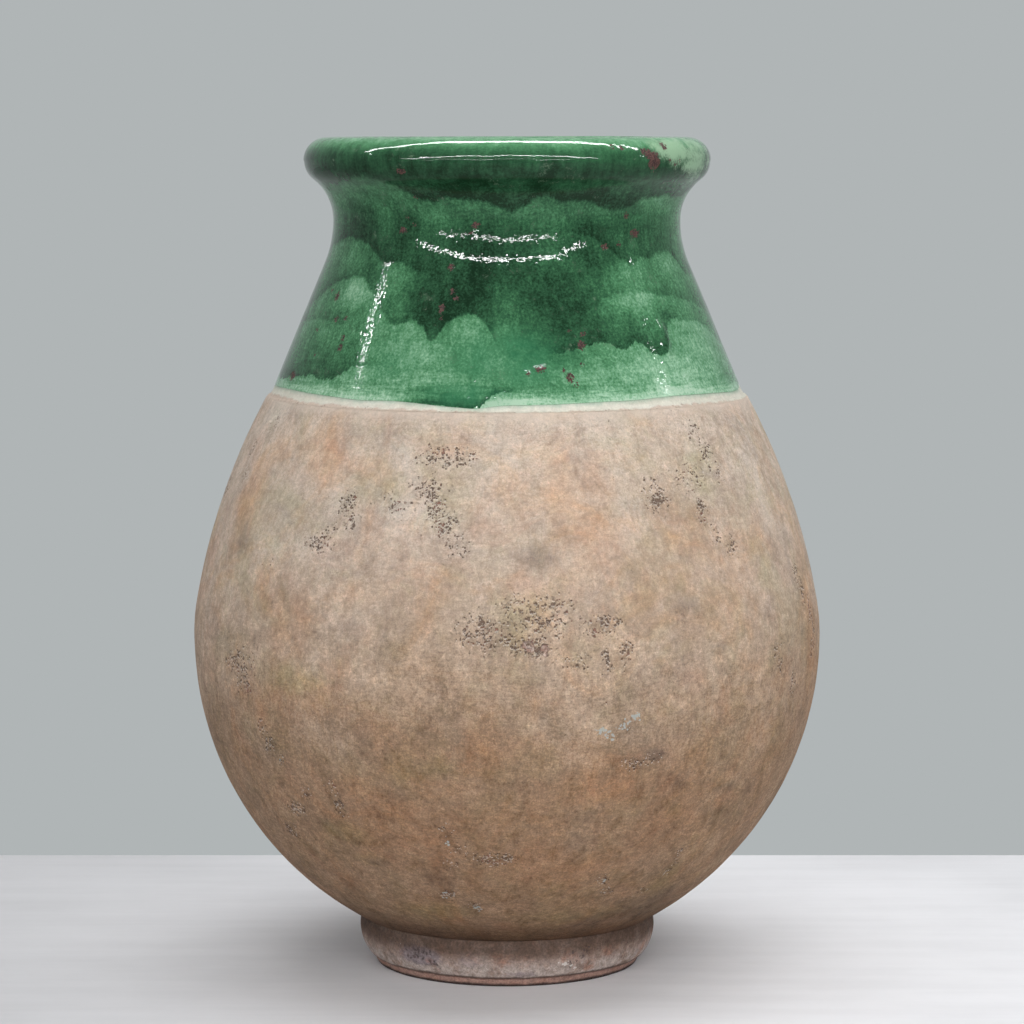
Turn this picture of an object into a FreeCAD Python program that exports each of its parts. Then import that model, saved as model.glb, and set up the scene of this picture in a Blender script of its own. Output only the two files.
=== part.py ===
import FreeCAD, Part
import math
import os

# A large thrown earthenware olive jar: a turned foot, a round belly thrown in two halves, a conical neck
# and a thick rolled rim, luted together, with cream slip and green glaze over the neck and a glazed inside.
# Millimetres, +Z up. The origin is the centre of the foot, on the floor.
# Every piece is round, so each is drawn as a flat section in the XZ plane and turned about Z.

# Heights, stacked from the floor up
foot_height = 41.0
lower_belly_height = 240.0
shoulder_height = 203.0
neck_height = 146.4
lip_height = 49.5

# Foot: a crowned band that tucks in to a turned step, and a bevelled sole under it
foot_radius = 124.0
foot_band_crown = 4.5
foot_tuck = 7.0
sole_band_height = 8.0
sole_step = 1.5
sole_bevel = 4.5
foot_ring_width = 28.0
slab_ledge = 8.0
slab_thickness = 22.0

# Belly: one arc from its toe on the foot to the widest line, a tight crown above it, then the long shoulder
belly_radius = 265.0
belly_wall = 18.0
toe_width = 42.5
crown_radius = 174.0
crown_angle = math.radians(10)
shoulder_radius = 570.0

# Neck and rim: the neck stands in from the edge of the shoulder, narrows to the throat and flares to a bead,
# whose middle lies outside the throat by the bead's reach
neck_setback = 3.9
neck_wall = 15.0
throat_radius = 144.6
neck_fillet = 92.0
bead_radius = 18.1
bead_reach = 6.4
rim_seam_drop = 25.0

# Seams: each upper piece has a tongue, bedded on slip in a groove of the piece below
tongue_width_share = 0.34
tongue_height = 5.0
luting_thickness = 1.5

# Coats: slip under glaze, on the neck, over the rim and down into the mouth
slip_thickness = 0.8
glaze_thickness = 1.2
lining_thickness = 1.2
slip_band_height = 12.0
mouth_glaze_depth = 90.0

# Cutting boxes reach this far past what they cut
overrun = 5.0

# Heights and circles that follow from these
belly_level = foot_height + lower_belly_height
seam_level = belly_level + shoulder_height
throat_level = seam_level + neck_height
bead_level = throat_level + lip_height
coats_thickness = slip_thickness + glaze_thickness
jar_height = bead_level + bead_radius + coats_thickness
rim_seam_level = bead_level - rim_seam_drop
mouth_glaze_level = jar_height - mouth_glaze_depth
glaze_edge_level = seam_level + slip_band_height

slab_radius = foot_radius - foot_ring_width
slab_underside = foot_height - slab_thickness
bore_radius = slab_radius - slab_ledge
step_radius = foot_radius - foot_tuck
sole_top_radius = step_radius - sole_step
sole_radius = sole_top_radius - sole_bevel
tongue_width = belly_wall * tongue_width_share


def at(radius, level):
    return FreeCAD.Vector(radius, 0, level)


def polar(centre, radius, angle):
    return centre + at(radius * math.cos(angle), radius * math.sin(angle))


def angle_to(centre, point):
    return math.atan2(point.z - centre.z, point.x - centre.x)


def arc(centre, radius, start, end):
    middle = (start + end) / 2
    return Part.Arc(*[polar(centre, radius, angle) for angle in (start, middle, end)]).toShape()


def line(start, end):
    return Part.LineSegment(start, end).toShape()


def face(*edges):
    ordered = Part.sortEdges(list(edges))[0]
    return Part.Face(Part.Wire(ordered))


def polygon(*corners):
    following = corners[1:] + corners[:1]
    return face(*[line(start, end) for start, end in zip(corners, following)])


def box(radius_from, radius_to, level_from, level_to):
    return polygon(at(radius_from, level_from), at(radius_to, level_from),
                   at(radius_to, level_to), at(radius_from, level_to))


def start_of(edges):
    return edges[0].valueAt(edges[0].FirstParameter)


def end_of(edges):
    return edges[-1].valueAt(edges[-1].LastParameter)


def between(outer, inner):
    """The section between two outlines that both run upwards."""
    return face(*outer, *inner, line(start_of(outer), start_of(inner)), line(end_of(outer), end_of(inner)))


def above(section, level):
    return section.common(box(0, belly_radius + overrun, level, jar_height + overrun))


def below(section, level):
    return section.common(box(0, belly_radius + overrun, -overrun, level))


# Belly outlines: the lower arc springs from the toe on the foot and is upright at the widest line

crown_centre = at(belly_radius - crown_radius, belly_level)
shoulder_centre = polar(crown_centre, crown_radius - shoulder_radius, crown_angle)


def belly_outline(depth):
    """The belly's line from the foot to the neck, at a depth under its outer skin."""
    toe = at(foot_radius - toe_width * depth / belly_wall, foot_height)
    spread = belly_radius - depth - toe.x
    lower = (spread ** 2 + lower_belly_height ** 2) / (2 * spread)
    lower_centre = at(toe.x + spread - lower, belly_level)
    shoulder = shoulder_radius - depth
    seam_angle = math.asin((seam_level - shoulder_centre.z) / shoulder)
    return [arc(lower_centre, lower, angle_to(lower_centre, toe), 0),
            arc(crown_centre, crown_radius - depth, 0, crown_angle),
            arc(shoulder_centre, shoulder, crown_angle, seam_angle)]


belly_skin = belly_outline(0)
belly_inside = belly_outline(belly_wall)
toe_inside = start_of(belly_inside)
shoulder_edge = end_of(belly_skin)
shoulder_inside = end_of(belly_inside)

# Neck outlines: the cone is tangent to the fillet above it, and the flare is tangent to the bead

fillet_centre = at(throat_radius + neck_fillet, throat_level)
bead_centre = at(throat_radius + bead_reach, bead_level)
flare_radius = (bead_reach ** 2 + lip_height ** 2 - bead_radius ** 2) / (2 * (bead_radius + bead_reach))
flare_centre = at(throat_radius + flare_radius, throat_level)
flare_angle = angle_to(flare_centre, bead_centre)


def cone_angle(foot, radius):
    """Direction of the cone's outward normal, for a cone from its foot to a fillet of this radius."""
    reach = foot.distanceToPoint(fillet_centre)
    return angle_to(fillet_centre, foot) - math.acos(radius / reach) + math.pi


def neck_outline(foot, depth, end_angle):
    """The neck's line from its foot to the bead, at a depth under its clay skin."""
    fillet = neck_fillet + depth
    normal = cone_angle(foot, fillet)
    return [line(foot, polar(fillet_centre, -fillet, normal)),
            arc(fillet_centre, fillet, normal + math.pi, math.pi),
            arc(flare_centre, flare_radius + depth, math.pi, end_angle)]


def raised(foot, depth, coat):
    """The neck's foot, moved square to the cone by the thickness of a coat."""
    return polar(foot, coat, cone_angle(foot, neck_fillet + depth))


def crease_angle(coat):
    """Direction from the flare's centre to the crease where the mouth runs into the bead."""
    reach = flare_radius + bead_radius
    mouth = flare_radius + neck_wall + coat
    lip = bead_radius + coat
    return flare_angle + math.acos((reach ** 2 + mouth ** 2 - lip ** 2) / (2 * reach * mouth))


neck_foot = shoulder_edge - at(neck_setback, 0)


def neck_skin(coat):
    return neck_outline(raised(neck_foot, 0, coat), -coat, flare_angle)


def neck_inside(coat):
    return neck_outline(raised(shoulder_inside, neck_wall, -coat), neck_wall + coat, crease_angle(coat))


def bead_edge(coat):
    """The bead's line from the flare outside, over the top and round to the crease inside the mouth."""
    crease = end_of(neck_inside(coat))
    end_angle = angle_to(bead_centre, crease) % (2 * math.pi)
    return [arc(bead_centre, bead_radius + coat, flare_angle - math.pi, end_angle)]


def flare_at(level, depth):
    """Radius of the flare under the bead at a level, at a depth under its skin."""
    return flare_centre.x - math.sqrt((flare_radius + depth) ** 2 - (level - throat_level) ** 2)


# Seams

def mean(first, second):
    return (first + second) / 2


foot_seam = at(mean(slab_radius, foot_radius), foot_height)
belly_seam = at(belly_radius - belly_wall / 2, belly_level)
neck_seam = at(mean(shoulder_edge.x, shoulder_inside.x), seam_level)
rim_tongue_level = rim_seam_level - tongue_height / 2
rim_seam = at(mean(flare_at(rim_tongue_level, 0), flare_at(rim_tongue_level, neck_wall)), rim_seam_level)


def tongue(seam):
    half = tongue_width / 2
    return box(seam.x - half, seam.x + half, seam.z - tongue_height, seam.z)


def luting(seam):
    half = tongue_width / 2
    bed = seam.z - tongue_height
    return box(seam.x - half, seam.x + half, bed - luting_thickness, bed)


def groove(section, seam):
    return section.cut(tongue(seam)).cut(luting(seam))


# Clay pieces

def foot_section():
    step = at(step_radius, sole_band_height)
    top = at(foot_radius, foot_height)
    chord = top - step
    crown = step + chord / 2 + at(chord.z, -chord.x) * (foot_band_crown / chord.Length)
    corners = [at(step_radius, sole_band_height), at(sole_top_radius, sole_band_height), at(sole_radius, 0),
               at(bore_radius, 0), at(bore_radius, slab_underside), at(slab_radius, slab_underside),
               at(slab_radius, foot_height), at(foot_radius, foot_height)]
    sides = [line(start, end) for start, end in zip(corners, corners[1:])]
    return face(Part.Arc(step, crown, top).toShape(), *sides)


belly_section = between(belly_skin, belly_inside)
collar_section = face(*neck_skin(0), *bead_edge(0), *neck_inside(0), line(neck_foot, shoulder_inside))


def base_slab():
    return box(0, slab_radius, slab_underside, foot_height)


def foot_ring():
    return groove(foot_section(), foot_seam)


def lower_belly():
    return groove(below(belly_section, belly_level), belly_seam).fuse(tongue(foot_seam))


def upper_belly():
    return groove(above(belly_section, belly_level), neck_seam).fuse(tongue(belly_seam))


def neck():
    return groove(below(collar_section, rim_seam_level), rim_seam).fuse(tongue(neck_seam))


def rolled_rim():
    return above(collar_section, rim_seam_level).fuse(tongue(rim_seam))


# Coats

def coat_section(under, over, edge_level):
    """A coat between two depths of covering, from its edge on the neck to its edge in the mouth."""
    outside = above(between(neck_skin(over), neck_skin(under)), edge_level)
    rim = between(bead_edge(over), bead_edge(under))
    inside = above(between(neck_inside(over), neck_inside(under)), mouth_glaze_level)
    return Part.makeCompound([outside, rim, inside])


def slip_coat():
    return coat_section(0, slip_thickness, seam_level)


def green_glaze():
    return coat_section(slip_thickness, coats_thickness, glaze_edge_level)


def lining_glaze():
    belly_coat = between(belly_inside, belly_outline(belly_wall + lining_thickness))
    neck_coat = below(between(neck_inside(0), neck_inside(lining_thickness)), mouth_glaze_level)
    floor_coat = box(0, toe_inside.x, foot_height, foot_height + lining_thickness).cut(belly_section)
    return Part.makeCompound([belly_coat.cut(floor_coat), neck_coat.cut(belly_coat), floor_coat])


def luting_slip():
    return Part.makeCompound([luting(seam) for seam in (foot_seam, belly_seam, neck_seam, rim_seam)])


def turned(section):
    """Turn a section about the jar's axis. Faces that meet become one solid."""
    rings = [piece.revolve(at(0, 0), FreeCAD.Vector(0, 0, 1), 360) for piece in section.Faces]
    if len(rings) == 1:
        return rings[0]
    return rings[0].fuse(rings[1:]).removeSplitter()


os.makedirs("parts", exist_ok=True)
for make in (base_slab, foot_ring, lower_belly, upper_belly, neck, rolled_rim,
             luting_slip, slip_coat, green_glaze, lining_glaze):
    shape = turned(make())
    shape.exportStep("parts/" + make.__name__ + ".step")
    print(make.__name__, "solids", len(shape.Solids), "valid", shape.isValid(), "volume", round(shape.Volume))
print("jar height", jar_height, "mouth width", 2 * flare_at(throat_level, neck_wall))
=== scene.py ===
import math
import random
from collections import namedtuple
from functools import cached_property

import bpy
import numpy as np
from mathutils import Matrix, Vector, noise


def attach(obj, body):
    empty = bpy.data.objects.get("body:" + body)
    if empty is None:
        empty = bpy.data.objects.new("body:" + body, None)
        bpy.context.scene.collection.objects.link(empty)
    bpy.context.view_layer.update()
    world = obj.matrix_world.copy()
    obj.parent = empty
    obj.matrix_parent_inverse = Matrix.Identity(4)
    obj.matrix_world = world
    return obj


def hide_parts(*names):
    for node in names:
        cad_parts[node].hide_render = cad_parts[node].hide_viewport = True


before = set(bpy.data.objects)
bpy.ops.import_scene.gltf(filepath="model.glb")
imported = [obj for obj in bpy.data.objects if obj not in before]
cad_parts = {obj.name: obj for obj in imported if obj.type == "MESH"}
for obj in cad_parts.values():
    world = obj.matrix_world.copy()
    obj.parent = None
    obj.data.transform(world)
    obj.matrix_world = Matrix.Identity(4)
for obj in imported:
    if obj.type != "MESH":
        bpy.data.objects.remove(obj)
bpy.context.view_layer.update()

# A large olive jar of thrown earthenware: a limewashed belly, and cream slip and green glaze on the neck.
# Metres, +Z up. Angles are in degrees round the jar: 0 faces the camera and 90 is on the camera's right.
# The tables of marks, lines and curtains give their levels and sizes in millimetres.

mm = 0.001

# Sizes of the jar, as in the CAD solids
foot_height = 0.041
lower_belly_height = 0.240
shoulder_height = 0.203
neck_height = 0.1464
lip_height = 0.0495
foot_radius = 0.124
foot_band_crown = 0.0045
foot_tuck = 0.007
sole_band_height = 0.008
sole_step = 0.0015
sole_bevel = 0.0045
foot_ring_width = 0.028
slab_ledge = 0.008
slab_thickness = 0.022
belly_radius = 0.265
belly_wall = 0.018
toe_width = 0.0425
crown_radius = 0.174
crown_angle = math.radians(10)
shoulder_radius = 0.570
neck_setback = 0.0039
neck_wall = 0.015
throat_radius = 0.1446
neck_fillet = 0.092
bead_radius = 0.0181
bead_reach = 0.0064
slip_thickness = 0.0008
glaze_thickness = 0.0012
mouth_glaze_depth = 0.090

belly_level = foot_height + lower_belly_height
seam_level = belly_level + shoulder_height
throat_level = seam_level + neck_height
bead_level = throat_level + lip_height
coats_thickness = slip_thickness + glaze_thickness
jar_height = bead_level + bead_radius + coats_thickness
mouth_glaze_level = jar_height - mouth_glaze_depth

# Mesh spacing: fine where a surface shows, coarse where another piece covers it
belly_columns = 600
neck_columns = 460
fine = 0.0028
finer = 0.0023
coarse = 0.012
cove_points = 7
crease_angle = math.radians(40)
back_share_start = 0.94

# Small forms that the solids leave to this script: rounds, sunken backs, thin edges, chips and the drip
shoulder_round = 0.004
cove_height = 0.006
cove_edge = 0.0002
slip_tuck = 0.0004
back_sink = 0.00035
glaze_margin_level = 0.503
glaze_shares = {"thin": 0.35, "mouth": 0.8, "least": 0.1}
glaze_lump = 0.00012
glaze_lump_size = 0.012
calm_edge = 0.035
calm_share = 0.25
glaze_ringed = 0.3
pool_edge = 0.005
swell_fade = 0.5
chip_depth = 0.0003
chip_start = 0.5
chip_slope = 4
drip_rise = 0.0036

# Hand-made unevenness of the clay, and its pits and spalls
swell_height = 0.0005
swell_size = 0.16
dent_height = 0.00025
dent_size = 0.045
ring_height = 0.00012
ring_size = (0.5, 0.5, 0.009)
pit_depth = 0.0006
pit_raggedness = 0.005
pit_middle = 0.5
spall_depth = 0.0012
spall_start = 0.4
spall_slope = 2
mark_falloff = 1.5

# Moves that keep one pattern of grain from repeating another
dent_shift = 3
pit_shift = 5
ring_shift = 7
glaze_lump_shift = 9

# Chance on the side that the photograph doesn't show
back_margin = 14
back_steps = (5, 24)
back_angles = (82, 278)
mark_widths = (0.7, 1.5)
mark_heights = (0.7, 1.4)
strength_spread = 0.35
height_seed = 30
strength_seed = 50


# Sections: rows of (radius, level) points

def polar(centre, radius, angle):
    return np.array([centre[0] + radius * math.cos(angle), centre[1] + radius * math.sin(angle)])


def angle_to(centre, point):
    return math.atan2(point[1] - centre[1], point[0] - centre[0])


def arc(centre, radius, start, end, spacing):
    count = max(2, math.ceil(abs(radius * (end - start)) / spacing) + 1)
    return np.array([polar(centre, radius, angle) for angle in np.linspace(start, end, count)])


def line(start, end, spacing):
    start, end = np.array(start), np.array(end)
    count = max(2, math.ceil(np.linalg.norm(end - start) / spacing) + 1)
    return start + (end - start) * np.linspace(0, 1, count)[:, None]


def path(*stretches):
    """Stretches that follow on from each other, joined into one row of points."""
    return np.vstack([stretches[0]] + [stretch[1:] for stretch in stretches[1:]])


crown_centre = (belly_radius - crown_radius, belly_level)
shoulder_centre = polar(crown_centre, crown_radius - shoulder_radius, crown_angle)


def lower_arc(depth, spacing):
    toe = (foot_radius - toe_width * depth / belly_wall, foot_height)
    spread = belly_radius - depth - toe[0]
    radius = (spread ** 2 + lower_belly_height ** 2) / (2 * spread)
    centre = (belly_radius - depth - radius, belly_level)
    return arc(centre, radius, angle_to(centre, toe), 0, spacing)


def upper_arcs(depth, top_level, spacing):
    radius = shoulder_radius - depth
    end = math.asin((top_level - shoulder_centre[1]) / radius)
    return path(arc(crown_centre, crown_radius - depth, 0, crown_angle, spacing),
                arc(shoulder_centre, radius, crown_angle, end, spacing))


shoulder_edge = upper_arcs(0, seam_level, fine)[-1]
shoulder_inside = upper_arcs(belly_wall, seam_level, fine)[-1]
neck_foot = shoulder_edge - np.array([neck_setback, 0])

fillet_centre = (throat_radius + neck_fillet, throat_level)
bead_centre = (throat_radius + bead_reach, bead_level)
flare_radius = (bead_reach ** 2 + lip_height ** 2 - bead_radius ** 2) / (2 * (bead_radius + bead_reach))
flare_centre = (throat_radius + flare_radius, throat_level)
flare_angle = angle_to(flare_centre, bead_centre)


def cone_normal(foot, fillet):
    """The direction square to the cone that runs up from a foot and meets the fillet of the throat."""
    reach = math.dist(foot, fillet_centre)
    return angle_to(fillet_centre, foot) - math.acos(fillet / reach) + math.pi


def neck_outline(foot, depth, end_angle, spacing):
    """The neck's line from its foot to the bead, at a depth under its clay skin."""
    fillet = neck_fillet + depth
    normal = cone_normal(foot, fillet)
    return path(line(foot, polar(fillet_centre, -fillet, normal), spacing),
                arc(fillet_centre, fillet, normal + math.pi, math.pi, spacing),
                arc(flare_centre, flare_radius + depth, math.pi, end_angle, spacing))


def raised(foot, depth, coat):
    """The neck's foot, moved square to the cone by the thickness of a coat."""
    return polar(foot, coat, cone_normal(foot, neck_fillet + depth))


def coat_path(coat, spacing):
    """The line of a coat: up the neck, over the bead and down inside the mouth."""
    outside = neck_outline(raised(neck_foot, 0, coat), -coat, flare_angle, spacing)
    reach = flare_radius + bead_radius
    mouth = flare_radius + neck_wall + coat
    lip = bead_radius + coat
    crease = flare_angle + math.acos((reach ** 2 + mouth ** 2 - lip ** 2) / (2 * reach * mouth))
    inside = neck_outline(raised(shoulder_inside, neck_wall, -coat), neck_wall + coat, crease, spacing)[::-1]
    inside = inside[inside[:, 1] >= mouth_glaze_level]
    end_angle = angle_to(bead_centre, inside[0]) % (2 * math.pi)
    bead = arc(bead_centre, lip, flare_angle - math.pi, end_angle, spacing)
    return path(outside, bead, inside)


def shoulder_lip():
    """The wall of the upper belly, and the centre and start angle of the small round on its top edge."""
    lean = math.asin((seam_level - shoulder_centre[1]) / shoulder_radius)
    wall = upper_arcs(0, seam_level - shoulder_round * (1 - math.sin(lean)), fine)
    lean = angle_to(shoulder_centre, wall[-1])
    return wall, polar(wall[-1], -shoulder_round, lean), lean


# Places on the jar

def wrapped(degrees):
    return (degrees + 180) % 360 - 180


def all_round(columns):
    """The angle of each column of points."""
    return np.arange(columns) * (360 / columns) - 180


def around(places, degrees):
    """A smooth closed line round the jar through (angle, value) places."""
    known, values = np.array(sorted(places)).T
    known = np.concatenate([known - 360, known, known + 360])
    values = np.tile(values, 3)
    slopes = np.gradient(values, known)
    left = np.searchsorted(known, degrees, side="right") - 1
    gap = known[left + 1] - known[left]
    t = (degrees - known[left]) / gap
    rise = values[left + 1] - values[left]
    bend = (t - 2 * t ** 2 + t ** 3) * slopes[left] + (t ** 3 - t ** 2) * slopes[left + 1]
    return values[left] + rise * (3 * t ** 2 - 2 * t ** 3) + gap * bend


class Skin:
    """The points of a section path turned round the jar: a grid of rows by columns."""

    def __init__(self, section, columns, start=0, trim=0):
        steps = np.linalg.norm(np.diff(section, axis=0), axis=1)
        lengths = np.concatenate([[0], np.cumsum(steps)])
        slopes = np.gradient(section, axis=0)
        normals = np.column_stack([slopes[:, 1], -slopes[:, 0]]) / np.linalg.norm(slopes, axis=1)[:, None]
        self.degrees = np.broadcast_to(all_round(columns), (len(section), columns))
        start = np.broadcast_to(start, columns)
        trim = np.broadcast_to(trim, columns)
        share = (lengths / lengths[-1])[:, None]
        run = start + share * (lengths[-1] - start - trim)
        self.radius = np.interp(run, lengths, section[:, 0])
        self.level = np.interp(run, lengths, section[:, 1])
        self.out = np.interp(run, lengths, normals[:, 0])
        self.up = np.interp(run, lengths, normals[:, 1])

    def points(self, relief=0):
        turn = np.radians(self.degrees)
        radius = self.radius + relief * self.out
        level = self.level + relief * self.up
        return np.stack([radius * np.sin(turn), -radius * np.cos(turn), level], axis=-1)

    def marks(self, places):
        """How far each point lies within soft marks: (angle, level, half width, half height, strength)."""
        field = np.zeros_like(self.radius)
        for angle, level, width, height, strength in places:
            across = np.radians(wrapped(self.degrees - angle)) * self.radius / (width * mm)
            along = (self.level - level * mm) / (height * mm)
            field = np.maximum(field, strength * np.exp(-(across ** 2 + along ** 2) ** mark_falloff))
        return field

    def fields(self, tables):
        return {name: self.marks(places) for name, places in tables.items()}

    def above(self, places):
        """How far each point lies above a line round the jar."""
        return self.level - mm * around(places, self.degrees)


def carried_on(places, spread, seed):
    """Places seen from the front, carried on round the back at the same average value, unevenly."""
    chance = random.Random(seed)
    middle = sum(value for _, value in places) / len(places)
    low, high = places[0][0], places[-1][0]
    behind = []
    angle = high + back_margin
    while angle < low + 360 - back_margin:
        behind.append((wrapped(angle), middle + chance.uniform(-spread, spread)))
        angle += chance.uniform(*back_steps)
    return list(places) + behind


def scattered(count, levels, sizes, strengths, seed):
    """Soft marks on the side that the photograph doesn't show."""
    chance = random.Random(seed)
    places = []
    for _ in range(count):
        size = chance.uniform(*sizes)
        places.append((chance.uniform(*back_angles), chance.uniform(*levels),
                       size * chance.uniform(*mark_widths), size * chance.uniform(*mark_heights),
                       chance.uniform(*strengths)))
    return places


def grain(points, size):
    """Smooth noise at each point, about -1 to 1, with lumps of a size."""
    scaled = (points / np.array(size)).reshape(-1, 3).tolist()
    return np.array([noise.noise(place) for place in scaled]).reshape(points.shape[:-1])


# Marks on each part of the jar: (angle, level, half width, half height, strength)

foot_marks = {
    "pits": [
        (-38, 26, 18, 6, 0.8), (-30, 20, 10, 6, 0.7), (30, 28, 10, 6, 0.7), (24, 19, 6, 4, 0.8),
        (120, 24, 14, 6, 0.7), (200, 22, 16, 6, 0.7),
    ],
    "ash": [
        (-36, 24, 24, 10, 1.1), (-15, 24, 20, 12, 0.5), (28, 27, 14, 6, 0.4), (6, 12, 20, 4, 0.6),
        (140, 24, 30, 10, 0.8), (230, 22, 24, 10, 0.7),
    ],
    "lichen": [
        (22.7, 21, 6, 4, 1), (27, 17, 4, 3, 0.8), (-46, 30, 3, 2, 0.8), (150, 22, 6, 4, 0.9),
        (215, 18, 5, 4, 0.9),
    ],
}

belly_marks = {
    "pits": [
        (-12.9, 450, 27, 10, 0.75), (-15.5, 425, 19, 11, 0.7), (-13.9, 411, 10, 10, 0.9),
        (-11.5, 398, 10, 11, 0.9), (-9, 384, 10, 11, 0.75), (-21.8, 410, 11, 7, 0.8),
        (-18.5, 412, 7, 5, 0.5), (-32.8, 412, 11, 11, 0.85), (-30.5, 398, 7, 9, 0.8),
        (-35.2, 391, 9, 6, 0.5), (-37.5, 379, 14, 9, 0.85), (-64.2, 464, 10, 10, 0.55),
        (-69, 423, 9, 9, 0.5), (-71.6, 445, 7, 10, 0.5), (-54.9, 277, 25, 15, 0.75),
        (-53.9, 260, 15, 9, 0.7), (-5.4, 318, 18, 18, 0.75), (5.4, 329, 35, 20, 0.7), (4.2, 305, 16, 10, 1),
        (-2, 312, 22, 13, 0.6), (17.1, 321, 18, 10, 0.8), (17.2, 292, 7, 13, 0.7), (20.7, 299, 7, 15, 0.7),
        (10.2, 293, 10, 6, 0.6), (13.1, 293, 9, 6, 0.6), (44.9, 463, 10, 13, 0.6), (46.5, 448, 10, 13, 0.7),
        (48.2, 432, 9, 10, 0.6), (39.8, 429, 18, 16, 0.55), (30.4, 417, 14, 15, 0.8),
        (40.8, 403, 9, 13, 0.75), (43.5, 386, 9, 10, 0.65), (46.6, 373, 10, 10, 0.6),
        (68.7, 341, 9, 13, 0.75), (70.1, 325, 9, 13, 0.75), (72.7, 310, 9, 13, 0.75),
        (74.3, 291, 7, 15, 0.75), (72.2, 280, 7, 10, 0.75), (56, 286, 7, 9, 0.7), (56.7, 276, 6, 9, 0.7),
        (62.3, 257, 9, 13, 0.7), (-49.8, 227, 7, 9, 0.6), (-48.4, 213, 9, 10, 0.7), (-46, 202, 7, 6, 0.5),
        (-41.4, 177, 9, 7, 0.7), (-45.5, 160, 11, 7, 0.8), (-34.9, 182, 9, 10, 0.6),
        (-33.8, 168, 7, 11, 0.7), (-51.4, 138, 10, 9, 0.7), (-11.7, 154, 10, 7, 0.6),
        (-9.3, 140, 9, 9, 0.6), (-2.7, 129, 21, 7, 0.85), (-12.5, 122, 9, 6, 0.5), (-14.3, 92, 7, 7, 0.7),
        (-7.1, 82, 11, 5, 0.6), (17, 264, 6, 6, 0.6), (22.5, 208, 11, 7, 0.75), (25.5, 209, 11, 7, 0.75),
        (28.1, 211, 9, 7, 0.6), (41, 124, 6, 7, 0.6), (41, 112, 6, 10, 0.6), (41, 105, 6, 7, 0.6),
        (36.2, 90, 7, 5, 0.6), (33.9, 83, 7, 5, 0.5), (23.1, 105, 7, 6, 0.6), (24.9, 93, 9, 5, 0.7),
    ] + scattered(46, (70, 470), (6, 17), (0.5, 0.85), 11),
    "lichen": [
        (16.5, 239, 5, 5, 1), (18.4, 233, 6, 4, 1), (20.5, 241, 8, 4, 1), (22.4, 247, 7, 5, 1),
        (23.1, 106, 4, 3, 0.8), (-49.5, 224, 3, 3, 0.6), (-48.4, 212, 3, 3, 0.7), (-46, 202, 3, 2, 0.8),
        (-14.6, 92, 6, 4, 0.9), (-11.2, 152, 3, 3, 0.6), (-7.9, 79, 5, 3, 0.9), (-12, 141, 4, 6, 0.7),
    ] + scattered(14, (80, 300), (3, 5), (0.6, 0.9), 12),
    "rust": [
        (-41.5, 318, 34, 24, 0.6), (-38.7, 255, 46, 22, 0.4), (-50.2, 243, 22, 16, 0.5),
        (-62.2, 405, 26, 46, 0.8), (-43, 445, 36, 26, 0.55), (-55, 455, 40, 26, 0.4),
        (13, 425, 36, 26, 0.6), (16, 395, 34, 26, 0.45), (35, 385, 36, 24, 0.45), (17, 190, 40, 24, 0.55),
        (-2, 232, 34, 16, 0.45), (-27.3, 400, 6, 18, 0.5), (72, 300, 20, 60, 0.7), (-20, 150, 60, 30, 0.5),
        (10, 120, 60, 24, 0.5), (-14, 345, 26, 18, 0.4), (34, 150, 40, 26, 0.45), (-30, 345, 36, 16, 0.35),
    ] + scattered(22, (80, 460), (14, 34), (0.4, 0.8), 13),
    "moss": [
        (-41, 270, 28, 14, 0.7), (-16, 207, 30, 14, 0.5), (-35, 146, 22, 10, 0.8), (-30.1, 122, 15, 8, 0.6),
        (-18, 75, 40, 10, 0.8), (41, 100, 14, 14, 0.8), (2, 328, 34, 20, 0.3), (54.4, 360, 14, 30, 0.5),
        (20, 70, 50, 10, 0.6), (-27, 425, 30, 12, 0.4), (44, 440, 20, 30, 0.5),
    ] + scattered(18, (60, 460), (14, 32), (0.4, 0.8), 14),
    "ash": [
        (-60, 375, 12, 18, 0.6), (7, 376, 14, 12, 0.6), (33, 330, 14, 16, 0.5), (33.5, 188, 10, 9, 1),
        (33.4, 170, 7, 6, 0.6), (46.2, 179, 16, 5, 0.8), (55, 174, 8, 7, 0.6), (-11, 232, 28, 14, 0.5),
        (15, 140, 20, 14, 0.6), (27.5, 215, 8, 5, 0.9), (-29, 120, 10, 4, 0.9), (66, 355, 6, 20, 0.6),
        (44, 72, 40, 16, 1), (30, 62, 26, 10, 0.7),
    ] + scattered(18, (70, 460), (8, 24), (0.4, 0.9), 15),
    "chalk": [
        (-50, 372, 18, 14, 0.7), (-17, 400, 30, 22, 0.5), (1, 450, 45, 20, 0.45), (26, 400, 12, 14, 0.7),
        (16, 418, 10, 6, 0.6), (-24, 450, 30, 14, 0.5), (62, 410, 16, 30, 0.6), (-11, 238, 20, 10, 0.5),
        (-60, 330, 16, 20, 0.4), (-64, 474, 22, 10, 0.9),
    ] + scattered(16, (200, 470), (14, 40), (0.4, 0.7), 16),
    "spall": [
        (3.6, 306, 7, 6, 0.75), (6.2, 303, 6, 7, 0.75),
    ] + scattered(3, (150, 400), (6, 10), (0.8, 0.9), 18),
}

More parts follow.
